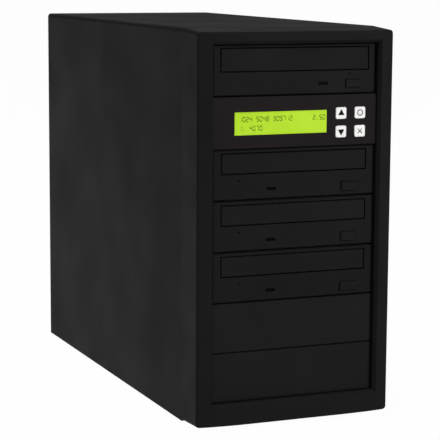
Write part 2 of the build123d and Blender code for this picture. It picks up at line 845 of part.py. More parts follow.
def make_drive(name, bay, front):
    """One disc drive: its steel housing, deck, face, tray, eject button, spindle and laser sled."""
    middle = bay_middle(bay)
    bottom = middle - drive_height / 2
    top = middle + drive_height / 2
    centre_y = face_y + disc_centre
    half_drive = drive_width / 2
    face_right, face_low = face_width / 2, middle - face_height / 2
    door_width = face_width - 2 * front["door_inset"]
    door_height = front["door_height"]
    door_z = middle + face_height / 2 - front["door_drop"]
    button_x, button_z = face_right - front["button_at"][0], face_low + front["button_at"][1]
    led_x, led_z = front["led_at"][0], face_low + front["led_at"][1]
    pinhole_x = front["pinhole_side"] * (face_right - front["pinhole_at"][0])
    pinhole_z = face_low + front["pinhole_at"][1]
    port = (
        (-port_width / 2, port_width / 2),
        (bottom + port_rise - port_height / 2, bottom + port_rise + port_height / 2),
    )

    with BuildPart() as housing:
        block((-half_drive, half_drive), (housing_front, housing_back), (bottom, top))
        block(
            (steel - half_drive, half_drive - steel),
            (housing_front, housing_back - steel),
            (bottom + steel, top - steel),
            mode=Mode.SUBTRACT,
        )
        block(
            (port[0][0] - slip, port[0][1] + slip),
            (housing_back - steel, housing_back),
            (port[1][0] - slip, port[1][1] + slip),
            mode=Mode.SUBTRACT,
        )
        for y in hole_ys:
            for x in ((-half_drive, steel - half_drive), (half_drive - steel, half_drive)):
                cross_rod(x, y, bottom + drive_hole_height, hole_radius, Mode.SUBTRACT)
    save(housing.part, f"{name}_housing")

    neck_half = half_drive - steel - slip
    neck_low, neck_high = bottom + steel + slip, top - steel - slip
    door_hole = (door_width / 2 + door_gap, door_height / 2 + door_gap)
    with BuildPart() as face:
        with BuildSketch(upright(housing_front)):
            with Locations((0, middle)):
                Rectangle(face_width, face_height)
        extrude(amount=face_thick)
        chamfer(face.faces().sort_by(Axis.Y)[0].edges(), face_chamfer)
        block((-neck_half, neck_half), (housing_front, housing_front + neck_depth), (neck_low, neck_high))
        block(
            (neck_wall - neck_half, neck_half - neck_wall),
            (housing_front, housing_front + neck_depth),
            (neck_low + neck_wall, neck_high - neck_wall),
            mode=Mode.SUBTRACT,
        )
        with BuildSketch(upright(housing_front)):
            with Locations((0, door_z)):
                Rectangle(2 * door_hole[0], 2 * door_hole[1])
            with Locations((button_x, button_z)):
                Rectangle(front["button"][0] + 2 * slip, front["button"][1] + 2 * slip)
            with Locations((led_x, led_z)):
                Rectangle(front["led"][0] + 2 * running, front["led"][1] + 2 * running)
            with Locations((pinhole_x, pinhole_z)):
                Circle(pinhole_radius)
        extrude(amount=face_thick, mode=Mode.SUBTRACT)
    save(face.part, f"{name}_face")

    tray_bottom = middle + tray_height
    tray_top = tray_bottom + tray_thick
    tray_half = tray_width / 2
    with BuildPart() as tray:
        # The door closes the slot in the face, and the tray behind it carries the disc.
        with BuildSketch(upright(face_y + door_thick)):
            with Locations((0, door_z)):
                Rectangle(door_width, door_height)
        extrude(amount=door_thick)
        chamfer(tray.faces().sort_by(Axis.Y)[0].edges(), door_chamfer)
        block(
            (-tray_half, tray_half),
            (face_y + door_thick, face_y + door_thick + tray_length),
            (tray_bottom, tray_top),
        )
        for radius, depth in (
            (disc_recess_radius, disc_recess_depth),
            (small_disc_radius, small_disc_depth),
        ):
            with BuildSketch(Plane.XY.offset(tray_top)):
                with Locations((0, centre_y)):
                    Circle(radius)
            extrude(amount=-depth, mode=Mode.SUBTRACT)
        block(
            (-tray_slot_width / 2, tray_slot_width / 2),
            (centre_y - tray_slot_lead, face_y + door_thick + tray_length),
            (tray_bottom, tray_top),
            mode=Mode.SUBTRACT,
        )
    save(tray.part, f"{name}_tray")

    deck_front = housing_front + neck_depth + slip
    deck_back = housing_back - steel
    deck_half = half_drive - steel - slip
    ledge_top = tray_bottom - slip
    channel = tray_half + slip
    plate_top = middle - traverse_drop
    plate_bottom = plate_top - traverse_thick
    sled_front = centre_y + sled_start
    posts_y = (sled_front - slip - post_length, sled_front + sled_length + sled_travel + slip)
    well = (centre_y - traverse_lead, posts_y[1] + post_length)
    with BuildPart() as deck:
        # A moulded tub: the tray runs on its ledges, under four hold-downs.
        block((-deck_half, deck_half), (deck_front, deck_back), (bottom + steel, tray_top + deck_rise))
        block(
            (-channel, channel),
            (deck_front, deck_back),
            (ledge_top, tray_top + deck_rise),
            mode=Mode.SUBTRACT,
        )
        block(
            (deck_ledge - channel, channel - deck_ledge),
            (deck_front, deck_back - neck_wall),
            (bottom + steel + deck_floor, ledge_top),
            mode=Mode.SUBTRACT,
        )
        for y in (deck_front, deck_front + 2 * hold_down_length):
            for side in (-1, 1):
                x = sorted((side * channel, side * (channel - hold_down_reach)))
                lip = (tray_top + slip, tray_top + slip + hold_down_thick)
                block(x, (y, y + hold_down_length), lip)
        # The traverse plate bridges the tub and carries the spindle and the sled's two rods.
        block((deck_ledge - channel, channel - deck_ledge), well, (plate_bottom, plate_top))
        block(
            (post_width - rod_offset, rod_offset - post_width),
            (posts_y[0] + post_length, posts_y[1]),
            (plate_bottom, plate_top),
            mode=Mode.SUBTRACT,
        )
        for side in (-1, 1):
            x = (side * rod_offset - post_width / 2, side * rod_offset + post_width / 2)
            for y in posts_y:
                block(x, (y, y + post_length), (plate_top, plate_top + 2 * rod_height))
            rod_z = plate_top + rod_height
            rod(side * rod_offset, rod_z, (posts_y[0], posts_y[1] + post_length), rod_radius)
        with BuildSketch(Plane.XY.offset(plate_bottom)):
            with Locations((0, centre_y)):
                Circle(spindle_radius + running)
        extrude(amount=traverse_thick, mode=Mode.SUBTRACT)
        block(port[0], (deck_back - neck_wall, housing_back + port_stand), port[1])
        for y in hole_ys:
            for x in ((-deck_half, deck_ledge - deck_half), (deck_half - deck_ledge, deck_half)):
                cross_rod(x, y, bottom + drive_hole_height, hole_radius + screw_play, Mode.SUBTRACT)
    save(deck.part, f"{name}_deck")

    recess_floor = tray_top - disc_recess_depth
    table_top = recess_floor + disc_lift
    with BuildPart() as spindle:
        for radius, low, high in (
            (spindle_radius, plate_bottom, plate_top + slip),
            (rotor_radius, plate_top + slip, table_top - turntable_thick),
            (turntable_radius, table_top - turntable_thick, table_top),
            (hub_radius, table_top, table_top + hub_height),
        ):
            with BuildSketch(Plane.XY.offset(low)):
                with Locations((0, centre_y)):
                    Circle(radius)
            extrude(amount=high - low)
        chamfer(spindle.edges().group_by(Axis.Z)[-1], hub_height / 3)
    save(spindle.part, f"{name}_spindle")

    sled_low = plate_top + slip
    sled_half = rod_offset + post_width / 2
    with BuildPart() as sled:
        block(
            (-sled_half, sled_half),
            (sled_front, sled_front + sled_length),
            (sled_low, sled_low + sled_thick),
        )
        with BuildSketch(Plane.XY.offset(sled_low + sled_thick)):
            with Locations((0, sled_front + sled_length / 2)):
                Circle(lens_radius)
        extrude(amount=lens_height)
        fillet(sled.edges().group_by(Axis.Z)[-1], lens_height / 2)
        for side in (-1, 1):
            rod(
                side * rod_offset,
                plate_top + rod_height,
                (sled_front, sled_front + sled_length),
                rod_radius + running,
                Mode.SUBTRACT,
            )
    save(sled.part, f"{name}_laser_sled")

    width, height = front["button"]
    with BuildPart() as button:
        block(
            (button_x - width / 2, button_x + width / 2),
            (face_y - button_proud, deck_front - slip - eject_travel),
            (button_z - height / 2, button_z + height / 2),
        )
        fillet(button.faces().sort_by(Axis.Y)[0].edges(), button_round)
        block(
            (button_x - width / 2 - button_ear, button_x + width / 2 + button_ear),
            (housing_front + running, housing_front + running + button_flange),
            (button_z - height / 2, button_z + height / 2),
        )
    save(button.part, f"{name}_eject_button")

    with BuildPart() as lens:
        width, height = front["led"]
        block(
            (led_x - width / 2, led_x + width / 2),
            (face_y + led_recess, housing_front),
            (led_z - height / 2, led_z + height / 2),
        )
        block(
            (led_x - width / 2 - led_flange_reach, led_x + width / 2 + led_flange_reach),
            (housing_front, housing_front + led_flange),
            (led_z - height / 2 - led_flange_reach, led_z + height / 2 + led_flange_reach),
        )
    return lens.part


drives = {"reader": (reader_bay, reader_front)}
for number, bay in enumerate(writer_bays, 1):
    drives[f"writer_{number}"] = (bay, writer_front)
lenses = [make_drive(name, *where) for name, where in drives.items()]

with BuildPart() as led_lenses:
    for lens in lenses:
        add(lens)
save(led_lenses.part, "led_lenses")

# ---------------------------------------------------------------- blank covers

for place, bay in blank_bays.items():
    middle = bay_middle(bay)
    with BuildPart() as blank:
        with BuildSketch(upright(face_y + blank_thick)):
            with Locations((0, middle)):
                Rectangle(face_width, blank_height)
        extrude(amount=blank_thick)
        chamfer(blank.faces().sort_by(Axis.Y)[0].edges(), door_chamfer)
        rim_back = face_y + blank_thick + blank_rim
        with BuildSketch(upright(rim_back)):
            with Locations((0, middle)):
                Rectangle(face_width, blank_height)
                Rectangle(
                    face_width - 2 * blank_rim_wall, blank_height - 2 * blank_rim_wall, mode=Mode.SUBTRACT
                )
        extrude(amount=blank_rim)
        for side in (-1, 1):
            x = sorted((side * face_width / 2, side * (face_width / 2 - blank_rim_wall)))
            arm = (middle - blank_arm_height / 2, middle + blank_arm_height / 2)
            block(x, (rim_back, rim_back + blank_arm_length - blank_rim), arm)
    save(blank.part, f"blank_cover_{place}")

# ---------------------------------------------------------------- control panel

panel_middle = bay_middle(panel_bay)
window_x, window_z = window_at[0], panel_middle + window_at[1]
lcd_frame_width = window_width + 2 * lcd_frame_margin
lcd_frame_height = window_height + 2 * lcd_frame_margin
lcd_board_width = lcd_frame_width + 2 * lcd_board_margin
lcd_board_height = panel_inner_height - 2 * lcd_board_gap
lcd_frame_back = panel_wall_back + lcd_frame_depth
lcd_board_back = lcd_frame_back + board_thick
keypad_left = key_columns[0] - keypad_left_margin
keypad_right = key_columns[1] + keypad_right_margin
keypad_height = panel_inner_height - 2 * keypad_gap
keypad_middle = (keypad_left + keypad_right) / 2
key_spots = {
    "key_up": (key_columns[0], panel_middle + key_rows[0]),
    "key_down": (key_columns[0], panel_middle + key_rows[1]),
    "key_enter": (key_columns[1], panel_middle + key_rows[0]),
    "key_escape": (key_columns[1], panel_middle + key_rows[1]),
}
keypad_bosses = [
    (keypad_right - boss_radius, panel_middle - keypad_height / 2 + boss_radius),
    (keypad_right - boss_radius, panel_middle + keypad_height / 2 - boss_radius),
    (keypad_middle - 2 * boss_radius, panel_middle + keypad_height / 2 - boss_radius),
]
lcd_boss_x, lcd_boss_z = lcd_board_width / 2 - boss_radius, lcd_board_height / 2 - boss_radius
lcd_bosses = [
    (window_x + sx * lcd_boss_x, panel_middle + sz * lcd_boss_z) for sx in (-1, 1) for sz in (-1, 1)
]

with BuildPart() as control_panel:
    with BuildSketch(upright(panel_y + overlay_thick)):
        with Locations((0, panel_middle)):
            RectangleRounded(overlay_width, overlay_height, overlay_thick / 2)
    extrude(amount=overlay_thick)
    chamfer(control_panel.faces().sort_by(Axis.Y)[0].edges(), overlay_thick / 4)
    half_body = panel_body_width / 2
    body_z = (panel_middle - panel_body_height / 2, panel_middle + panel_body_height / 2)
    block((-half_body, half_body), (panel_y + overlay_thick, panel_back), body_z)
    block(
        (panel_wall - half_body, half_body - panel_wall),
        (panel_wall_back, panel_back),
        (body_z[0] + panel_wall, body_z[1] - panel_wall),
        mode=Mode.SUBTRACT,
    )
    for x, z in keypad_bosses + lcd_bosses:
        rod(x, z, (panel_wall_back, lcd_frame_back), boss_radius)
    with BuildSketch(upright(panel_wall_back)):
        with Locations((window_x, window_z)):
            Rectangle(window_width, window_height)
        with Locations(*key_spots.values()):
            RectangleRounded(key_size + 2 * key_gap, key_size + 2 * key_gap, key_round + key_gap)
    extrude(amount=panel_wall_back - panel_y, mode=Mode.SUBTRACT)
save(control_panel.part, "control_panel")

with BuildPart() as lcd_glass:
    block(
        (window_x - window_width / 2 + running, window_x + window_width / 2 - running),
        (panel_y + glass_recess, panel_wall_back),
        (window_z - window_height / 2 + running, window_z + window_height / 2 - running),
    )
save(lcd_glass.part, "lcd_glass")

with BuildPart() as lcd_module:
    block(
        (window_x - lcd_frame_width / 2, window_x + lcd_frame_width / 2),
        (panel_wall_back, lcd_frame_back),
        (window_z - lcd_frame_height / 2, window_z + lcd_frame_height / 2),
    )
    block(
        (window_x - lcd_board_width / 2, window_x + lcd_board_width / 2),
        (lcd_frame_back, lcd_board_back),
        (panel_middle - lcd_board_height / 2, panel_middle + lcd_board_height / 2),
    )
save(lcd_module.part, "lcd_module")

switch_front = lcd_frame_back - switch_height
for name, (x, z) in key_spots.items():
    with BuildPart() as key:
        with BuildSketch(upright(panel_wall_back)):
            with Locations((x, z)):
                RectangleRounded(key_size, key_size, key_round)
        extrude(amount=panel_wall_back - panel_y + key_proud)
        fillet(key.faces().sort_by(Axis.Y)[0].edges(), key_proud / 2)
        reach = key_size / 2 + key_flange_reach
        flange_front = panel_wall_back + running
        rod(x, z, (panel_wall_back, switch_front - key_travel - running), key_stem_radius)
        block((x - reach, x + reach), (flange_front, flange_front + key_flange / 2), (z - reach, z + reach))
    save(key.part, name)

with BuildPart() as keypad_board:
    block(
        (keypad_left, keypad_right),
        (lcd_frame_back, lcd_board_back),
        (panel_middle - keypad_height / 2, panel_middle + keypad_height / 2),
    )
    for x, z in key_spots.values():
        half = switch_size / 2
        block((x - half, x + half), (switch_front, lcd_frame_back), (z - half, z + half))
save(keypad_board.part, "keypad_board")

# ---------------------------------------------------------------- controller

bracket_front = panel_back
bracket_back = housing_back
bracket_bottom = panel_middle - drive_height / 2
bracket_half = drive_width / 2
bracket_side = drive_height - bracket_gap
controller_width = drive_width - 2 * controller_margin
board_front = bracket_front + controller_inset
board_back = board_front + controller_length
board_bottom = bracket_bottom + steel + controller_lift
board_top = board_bottom + board_thick
standoffs = [
    (sx * (controller_width / 2 - standoff_inset_x), y)
    for sx in (-1, 1)
    for y in (board_front + standoff_inset_y, board_back - standoff_inset_y)
]
data_port_xs = [
    (index - (len(drives) - 1) / 2) * data_port_pitch - data_port_shift for index in range(len(drives))
]

with BuildPart() as controller_bracket:
    block(
        (-bracket_half, bracket_half),
        (bracket_front, bracket_back),
        (bracket_bottom, bracket_bottom + bracket_side),
    )
    block(
        (steel - bracket_half, bracket_half - steel),
        (bracket_front, bracket_back),
        (bracket_bottom + steel, bracket_bottom + bracket_side),
        mode=Mode.SUBTRACT,
    )
    for y in hole_ys:
        for x in ((-bracket_half, steel - bracket_half), (bracket_half - steel, bracket_half)):
            cross_rod(x, y, bracket_bottom + drive_hole_height, hole_radius, Mode.SUBTRACT)
save(controller_bracket.part, "controller_bracket")

with BuildPart() as controller_board:
    block((-controller_width / 2, controller_width / 2), (board_front, board_back), (board_bottom, board_top))
    with BuildSketch(Plane.XY.offset(bracket_bottom + steel)):
        with Locations(*standoffs):
            Circle(standoff_radius)
    extrude(amount=controller_lift)
    board_middle = (board_front + board_back) / 2
    for x, size in chips:
        half = size / 2
        block(
            (x - half, x + half),
            (board_middle - half, board_middle + half),
            (board_top, board_top + chip_height),
        )
    ports = (board_back - controller_port_depth, board_back)
    for x in data_port_xs:
        half = data_port_width / 2
        block((x - half, x + half), ports, (board_top, board_top + controller_port_height))
    power_port_right = controller_width / 2 - power_port_inset
    block(
        (power_port_right - power_port_width, power_port_right),
        ports,
        (board_top, board_top + controller_port_height),
    )
save(controller_board.part, "controller_board")

# ---------------------------------------------------------------- screws


def side_screw(side, y, z):
    """A pan-head screw driven in through the cage's wall."""
    seat = side * (cage_half + steel)
    with BuildPart() as screw:
        cross_rod(sorted((seat, seat + side * screw_head_height)), y, z, screw_head_radius)
        cross_rod(sorted((seat, seat - side * screw_length)), y, z, screw_radius)
        slot_x = sorted((seat + side * screw_head_height, seat + side * screw_head_height / 2))
        for long_y, long_z in ((screw_head_radius, screw_slot), (screw_slot, screw_head_radius)):
            block(
                slot_x,
                (y - long_y / 2, y + long_y / 2),
                (z - long_z / 2, z + long_z / 2),
                mode=Mode.SUBTRACT,
            )
    return screw.part


def rear_screw(x, z, seat, length):
    """A pan-head screw driven in from behind, with its head on the face at depth seat."""
    with BuildPart() as screw:
        rod(x, z, (seat, seat + screw_head_height), screw_head_radius)
        rod(x, z, (seat - length, seat), screw_radius)
        slot_y = (seat + screw_head_height / 2, seat + screw_head_height)
        for long_x, long_z in ((screw_head_radius, screw_slot), (screw_slot, screw_head_radius)):
            block(
                (x - long_x / 2, x + long_x / 2),
                slot_y,
                (z - long_z / 2, z + long_z / 2),
                mode=Mode.SUBTRACT,
            )
    return screw.part


screwed_bays = [reader_bay, panel_bay, *writer_bays]
screws = [
    side_screw(side, y, bay_middle(bay) - drive_height / 2 + drive_hole_height)
    for bay in screwed_bays
    for side in (-1, 1)
    for y in hole_ys
]
for fan_at, seat in ((exhaust_at, rear_y), (psu_fan_at, rear_inner)):
    screws += [rear_screw(x, z, seat + guard_eye_thick, fan_screw_length) for x, z in fan_corners(fan_at)]
screws += [rear_screw(x, z, rear_y, screw_length) for x, z in psu_screws]

with BuildPart() as machine_screws:
    for screw in screws:
        add(screw)
save(machine_screws.part, "machine_screws")

# ---------------------------------------------------------------- cables


def corner_radii(points):
    """The largest round that each corner of a route leaves room for."""
    radii = []
    for before, here, after in zip(points, points[1:], points[2:]):
        run_in, run_out = here - before, after - here
        turn = math.radians(run_in.get_angle(run_out))
        radii.append(round_share * min(run_in.length, run_out.length) / math.tan(turn / 2))
    return radii


def cable(points, radius, plugs):
    """A round cable along a route of straight runs and tangent arcs, with a plug on the ends named."""
    radii = corner_radii(points)
    with BuildPart() as tube:
        with BuildLine() as route:
            FilletPolyline(*points, radius=radii)
        with BuildSketch(Plane(origin=points[0], z_dir=points[1] - points[0])):
            Circle(radius)
        sweep()
        length = sum(piece.length for piece in route.edges())
        share = tube.part.volume / (math.pi * radius**2 * length)
        print("cable radii", [round(r, 1) for r in radii], "length", round(length), "share", round(share, 3))
        for end in plugs:
            tip = points[end]
            inward = -1 if points[end].Y > points[1 if end == 0 else -2].Y else 1
            block(
                (tip.X - plug_width / 2, tip.X + plug_width / 2),
                sorted((tip.Y, tip.Y - inward * plug_length)),
                (tip.Z - plug_height / 2, tip.Z + plug_height / 2),
            )
    return tube.part


def belly_points(start, end):
    """Points along a long upright run, each a little further back than a straight line."""
    count = math.ceil((end - start).length / long_run)
    points = []
    for index in range(1, count):
        share = index / count
        out = Vector(0, cable_belly * math.sin(math.pi * share), 0)
        points.append(start + (end - start) * share + out)
    return points


port_back = housing_back + port_stand
port_x = (-port_width / 4, port_width / 4)
data_leads = []
power_leads = []
order = sorted(drives, key=lambda name: abs(drives[name][0] - panel_bay))
for index, (name, x) in enumerate(zip(order, data_port_xs)):
    port_z = bay_middle(drives[name][0]) - drive_height / 2 + port_rise
    board_port_z = board_top + controller_port_height / 2
    out = port_back + plug_length + cable_out + index * cable_nest
    first = Vector(port_x[0], port_back + plug_length, port_z)
    last = Vector(x, board_back + plug_length, board_port_z)
    corners = [Vector(port_x[0], out, port_z), Vector(x, out, board_port_z)]
    route = [first, corners[0], *belly_points(*corners), corners[1], last]
    data_leads.append(cable(route, data_cable_radius, (0, -1)))

supply_z = psu_bottom + psu_height - 4 * power_cable_radius
takers = sorted(((bay, port_x[1]) for bay, front in drives.values()), reverse=True)
for index, (bay, x) in enumerate(takers):
    port_z = bay_middle(bay) - drive_height / 2 + port_rise
    start_x = x + (index + 1) * 3 * power_cable_radius
    first = Vector(start_x, psu_front, supply_z)
    corner = Vector(start_x, psu_front - cable_out, supply_z)
    turn = Vector(x, port_back + plug_length + cable_out, port_z)
    last = Vector(x, port_back + plug_length, port_z)
    route = [first, corner, *belly_points(corner, turn), turn, last]
    power_leads.append(cable(route, power_cable_radius, (-1,)))

with BuildPart() as data_cables:
    for lead in data_leads:
        add(lead)
save(data_cables.part, "data_cables")

with BuildPart() as power_harness:
    for lead in power_leads:
        add(lead)
save(power_harness.part, "power_harness")
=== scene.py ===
# %% [markdown]
# # A disc duplicator tower
# The tower is a steel box with a moulded frame on its front. The frame holds seven bays: a disc
# reader, a control panel with a small display, three disc writers and two blank covers. The packed
# model already holds every piece at its real size, so this lesson adds what makes the pieces look
# real: paint, moulded grain, printed marks, the display's characters and the small electronics.

import json
import math

import bpy
from mathutils import Matrix, Vector


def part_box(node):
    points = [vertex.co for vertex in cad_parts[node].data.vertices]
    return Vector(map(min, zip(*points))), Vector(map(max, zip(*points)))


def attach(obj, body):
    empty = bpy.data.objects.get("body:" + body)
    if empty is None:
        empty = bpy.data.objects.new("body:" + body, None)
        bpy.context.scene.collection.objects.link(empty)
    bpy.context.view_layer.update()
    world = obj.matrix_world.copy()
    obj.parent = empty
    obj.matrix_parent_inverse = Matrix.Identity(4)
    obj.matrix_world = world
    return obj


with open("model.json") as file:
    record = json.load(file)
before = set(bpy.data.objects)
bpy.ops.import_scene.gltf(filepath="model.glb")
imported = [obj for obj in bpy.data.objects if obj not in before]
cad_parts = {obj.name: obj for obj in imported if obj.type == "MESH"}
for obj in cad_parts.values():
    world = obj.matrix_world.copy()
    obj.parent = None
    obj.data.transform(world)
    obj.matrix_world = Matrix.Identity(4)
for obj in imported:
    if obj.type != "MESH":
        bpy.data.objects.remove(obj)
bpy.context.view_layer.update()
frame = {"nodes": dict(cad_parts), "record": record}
nodes = frame["nodes"]
scene = bpy.context.scene
MM = 0.001

# %% [markdown]
# ## The camera
# The photograph was taken from the front left, a little above the middle, with a long lens. A camera
# could be placed by eye, but a fit to the case's corners and the bays' edges gives the same view to
# about a pixel. It gave a place, three angles and a lens.

# %% The camera
CAMERA_PLACE = Vector((-601.8, -1493.2, 388.7)) * MM
CAMERA_YAW = math.radians(22.543)
CAMERA_PITCH = math.radians(8.553)
CAMERA_ROLL = math.radians(0.335)
CAMERA_LENS = 141.38
SENSOR_WIDTH = 36.0

forward = Vector(
    (
        math.sin(CAMERA_YAW) * math.cos(CAMERA_PITCH),
        math.cos(CAMERA_YAW) * math.cos(CAMERA_PITCH),
        -math.sin(CAMERA_PITCH),
    )
)
level_right = Vector((math.cos(CAMERA_YAW), -math.sin(CAMERA_YAW), 0))
level_up = level_right.cross(forward)
right = math.cos(CAMERA_ROLL) * level_right + math.sin(CAMERA_ROLL) * level_up
up = -math.sin(CAMERA_ROLL) * level_right + math.cos(CAMERA_ROLL) * level_up

bpy.ops.object.select_all(action="DESELECT")
bpy.ops.object.camera_add(location=CAMERA_PLACE)
camera = bpy.context.active_object
turn = Matrix((right, up, -forward)).transposed().to_4x4()
camera.matrix_world = Matrix.Translation(CAMERA_PLACE) @ turn
camera.data.lens = CAMERA_LENS
camera.data.sensor_width = SENSOR_WIDTH
scene.camera = camera
scene.view_settings.view_transform = "Standard"

print("camera at", [round(value, 3) for value in camera.location])

# %% [markdown]
# ## Colours and nodes
# Every colour below is written as it would be read off a paint card, in sRGB hex. Cycles works in
# linear light, so one function converts them. A second small function adds a shader node with its
# settings and its links, which keeps each material's recipe short enough to read.


# %% Helpers for colours and nodes
def linear(hex_code):
    """The linear colour, with alpha, of an sRGB hex code."""
    channels = [int(hex_code[start : start + 2], 16) / 255 for start in (1, 3, 5)]
    return [c / 12.92 if c <= 0.04045 else ((c + 0.055) / 1.055) ** 2.4 for c in channels] + [1.0]


def add_node(tree, kind, links=(), **settings):
    """Adds a node. A setting is the name of an input or of a property; a link is (input, output)."""
    node = tree.nodes.new(kind)
    for name, value in settings.items():
        socket = name.replace("_", " ").title()
        if socket in node.inputs:
            node.inputs[socket].default_value = value
        else:
            setattr(node, name, value)
    for name, output in links:
        tree.links.new(output, node.inputs[name])
    return node


def per_metre(size_mm):
    """The scale of a pattern whose features are size_mm apart, on coordinates in metres."""
    return 1.0 / (size_mm * MM)


def start_material(name, colour, roughness, specular=0.5, metallic=0.0):
    """A material with its main shader set, and the object coordinates that patterns read."""
    material = bpy.data.materials.new(name)
    material.use_nodes = True
    tree = material.node_tree
    shader = tree.nodes["Principled BSDF"]
    shader.inputs["Base Color"].default_value = linear(colour)
    shader.inputs["Roughness"].default_value = roughness
    shader.inputs["Specular IOR Level"].default_value = specular
    shader.inputs["Metallic"].default_value = metallic
    place = add_node(tree, "ShaderNodeTexCoord").outputs["Object"]
    return material, tree, shader, place


def drift(tree, place, size_mm, low, high, detail=3.0):
    """A slow noise that runs from low to high, for uneven gloss, dust or tone."""
    noise = add_node(
        tree, "ShaderNodeTexNoise", [("Vector", place)], scale=per_metre(size_mm), detail=detail
    )
    return add_node(
        tree,
        "ShaderNodeMapRange",
        [("Value", noise.outputs["Fac"])],
        from_min=0.3,
        from_max=0.7,
        to_min=low,
        to_max=high,
    ).outputs["Result"]


def tint(tree, shader, colours, factor):
    """Mixes the base colour between two colours by a factor."""
    mix = add_node(tree, "ShaderNodeMix", data_type="RGBA")
    mix.inputs[6].default_value = linear(colours[0])
    mix.inputs[7].default_value = linear(colours[1])
    tree.links.new(factor, mix.inputs[0])
    tree.links.new(mix.outputs[2], shader.inputs["Base Color"])


def emboss(tree, shader, height, depth_mm, strength=1.0):
    """Turns a height from 0 to 1 into a bump that is depth_mm deep."""
    depth = depth_mm * MM
    bump = add_node(tree, "ShaderNodeBump", [("Height", height)], strength=strength, distance=depth)
    tree.links.new(bump.outputs["Normal"], shader.inputs["Normal"])


# %% [markdown]
# ## Painted and moulded finishes
# The case is folded steel with a black powder coat, which is sprayed as dust and baked, so it keeps a
# soft orange peel about a millimetre across. The frame, the drives' faces and the blank covers are
# ABS, moulded in tools whose steel was spark-eroded, so they carry an even, very fine grain. Both
# could be one dark colour with a roughness, but the slow drift of gloss over a large panel is what
# makes it read as a real surface. Real grain is finer than the picture shows, so it is drawn at
# about twice its size.


# %% Painted and moulded finishes
def powder_coat(name, colours):
    material, tree, shader, place = start_material(name, colours[0], 0.5, specular=0.02)
    tint(tree, shader, colours, drift(tree, place, 160, 0.0, 1.0))
    tree.links.new(drift(tree, place, 70, 0.44, 0.54), shader.inputs["Roughness"])
    peel = add_node(tree, "ShaderNodeTexNoise", [("Vector", place)], scale=per_metre(1.6), detail=2.0)
    emboss(tree, shader, peel.outputs["Fac"], 0.05, 0.6)
    return material


def spark_grain(name, colours, roughness, specular, grain_mm=0.7, depth_mm=0.04):
    material, tree, shader, place = start_material(name, colours[0], roughness, specular)
    tint(tree, shader, colours, drift(tree, place, 45, 0.0, 1.0))
    gloss = drift(tree, place, 30, roughness - 0.04, roughness + 0.05)
    tree.links.new(gloss, shader.inputs["Roughness"])
    grain = add_node(
        tree,
        "ShaderNodeTexNoise",
        [("Vector", place)],
        scale=per_metre(grain_mm),
        detail=4.0,
        roughness=0.6,
    )
    emboss(tree, shader, grain.outputs["Fac"], depth_mm, 0.7)
    return material


def overlay_film(name, colours):
    """Printed polyester film: smooth, a little warm, with a faint waviness from its glue."""
    material, tree, shader, place = start_material(name, colours[0], 0.42, specular=0.03)
    tint(tree, shader, colours, drift(tree, place, 60, 0.0, 1.0))
    tree.links.new(drift(tree, place, 25, 0.36, 0.46), shader.inputs["Roughness"])
    waves = add_node(tree, "ShaderNodeTexNoise", [("Vector", place)], scale=per_metre(18), detail=1.0)
    emboss(tree, shader, waves.outputs["Fac"], 0.06, 0.4)
    return material


# The frame and the blank covers are dull and even, and the drives' faces a touch smoother. Glass
# fibres leave the fans a little cloudy, the thermoset sockets are hard and shinier, the white keys
# are almost smooth, and the rubber of the feet is coarse and dull.
black_paint = powder_coat("black_powder_coat", ("#171717", "#191919"))
frame_plastic = spark_grain("spark_grained_abs", ("#171717", "#191919"), 0.46, 0.02)
drive_plastic = spark_grain("satin_black_abs", ("#141414", "#171717"), 0.42, 0.03, 0.5, 0.025)
tray_plastic = spark_grain("tray_abs", ("#141414", "#181818"), 0.4, 0.03, 0.5, 0.02)
blank_plastic = spark_grain("blank_cover_abs", ("#171717", "#1A1A1A"), 0.44, 0.03, 0.6, 0.03)
deck_plastic = spark_grain("moulded_deck_plastic", ("#1E1E1F", "#252526"), 0.5, 0.3, 0.9, 0.03)
fan_plastic = spark_grain("glass_filled_plastic", ("#171717", "#1E1E1E"), 0.48, 0.35, 0.6, 0.03)
socket_plastic = spark_grain("thermoset_plastic", ("#121212", "#191919"), 0.35, 0.4, 0.8, 0.02)
key_plastic = spark_grain("white_key_abs", ("#E6E6E4", "#EAEAE8"), 0.38, 0.2, 0.5, 0.01)
overlay = overlay_film("printed_overlay_film", ("#1A1617", "#1D1819"))
foot_rubber = spark_grain("moulded_rubber", ("#161616", "#1D1D1D"), 0.75, 0.3, 1.2, 0.06)

# %% [markdown]
# ## Bare metal
# The chassis is galvanised sheet. Zinc freezes on steel in crystals, so the sheet shows a pattern of
# dull and bright flakes, called spangle, some 6 to 10 mm across. A Voronoi pattern gives flakes with
# straight edges, and each flake gets its own roughness. The drives' shells are electro-plated
# instead, which is plain and a little brushed by the rollers, so a noise stretched along one axis
# fits them. Screws and guards are nickel plated, bright and nearly smooth.


# %% Bare metal
def spangled_zinc(name, colours):
    material, tree, shader, place = start_material(name, colours[0], 0.4, metallic=1.0)
    flakes = add_node(tree, "ShaderNodeTexVoronoi", [("Vector", place)], scale=per_metre(9))
    shade = add_node(tree, "ShaderNodeSeparateColor", [("Color", flakes.outputs["Color"])])
    tint(tree, shader, colours, shade.outputs["Red"])
    gloss = add_node(
        tree, "ShaderNodeMapRange", [("Value", shade.outputs["Green"])], to_min=0.32, to_max=0.52
    )
    tree.links.new(gloss.outputs["Result"], shader.inputs["Roughness"])
    emboss(tree, shader, shade.outputs["Blue"], 0.02, 0.3)
    return material


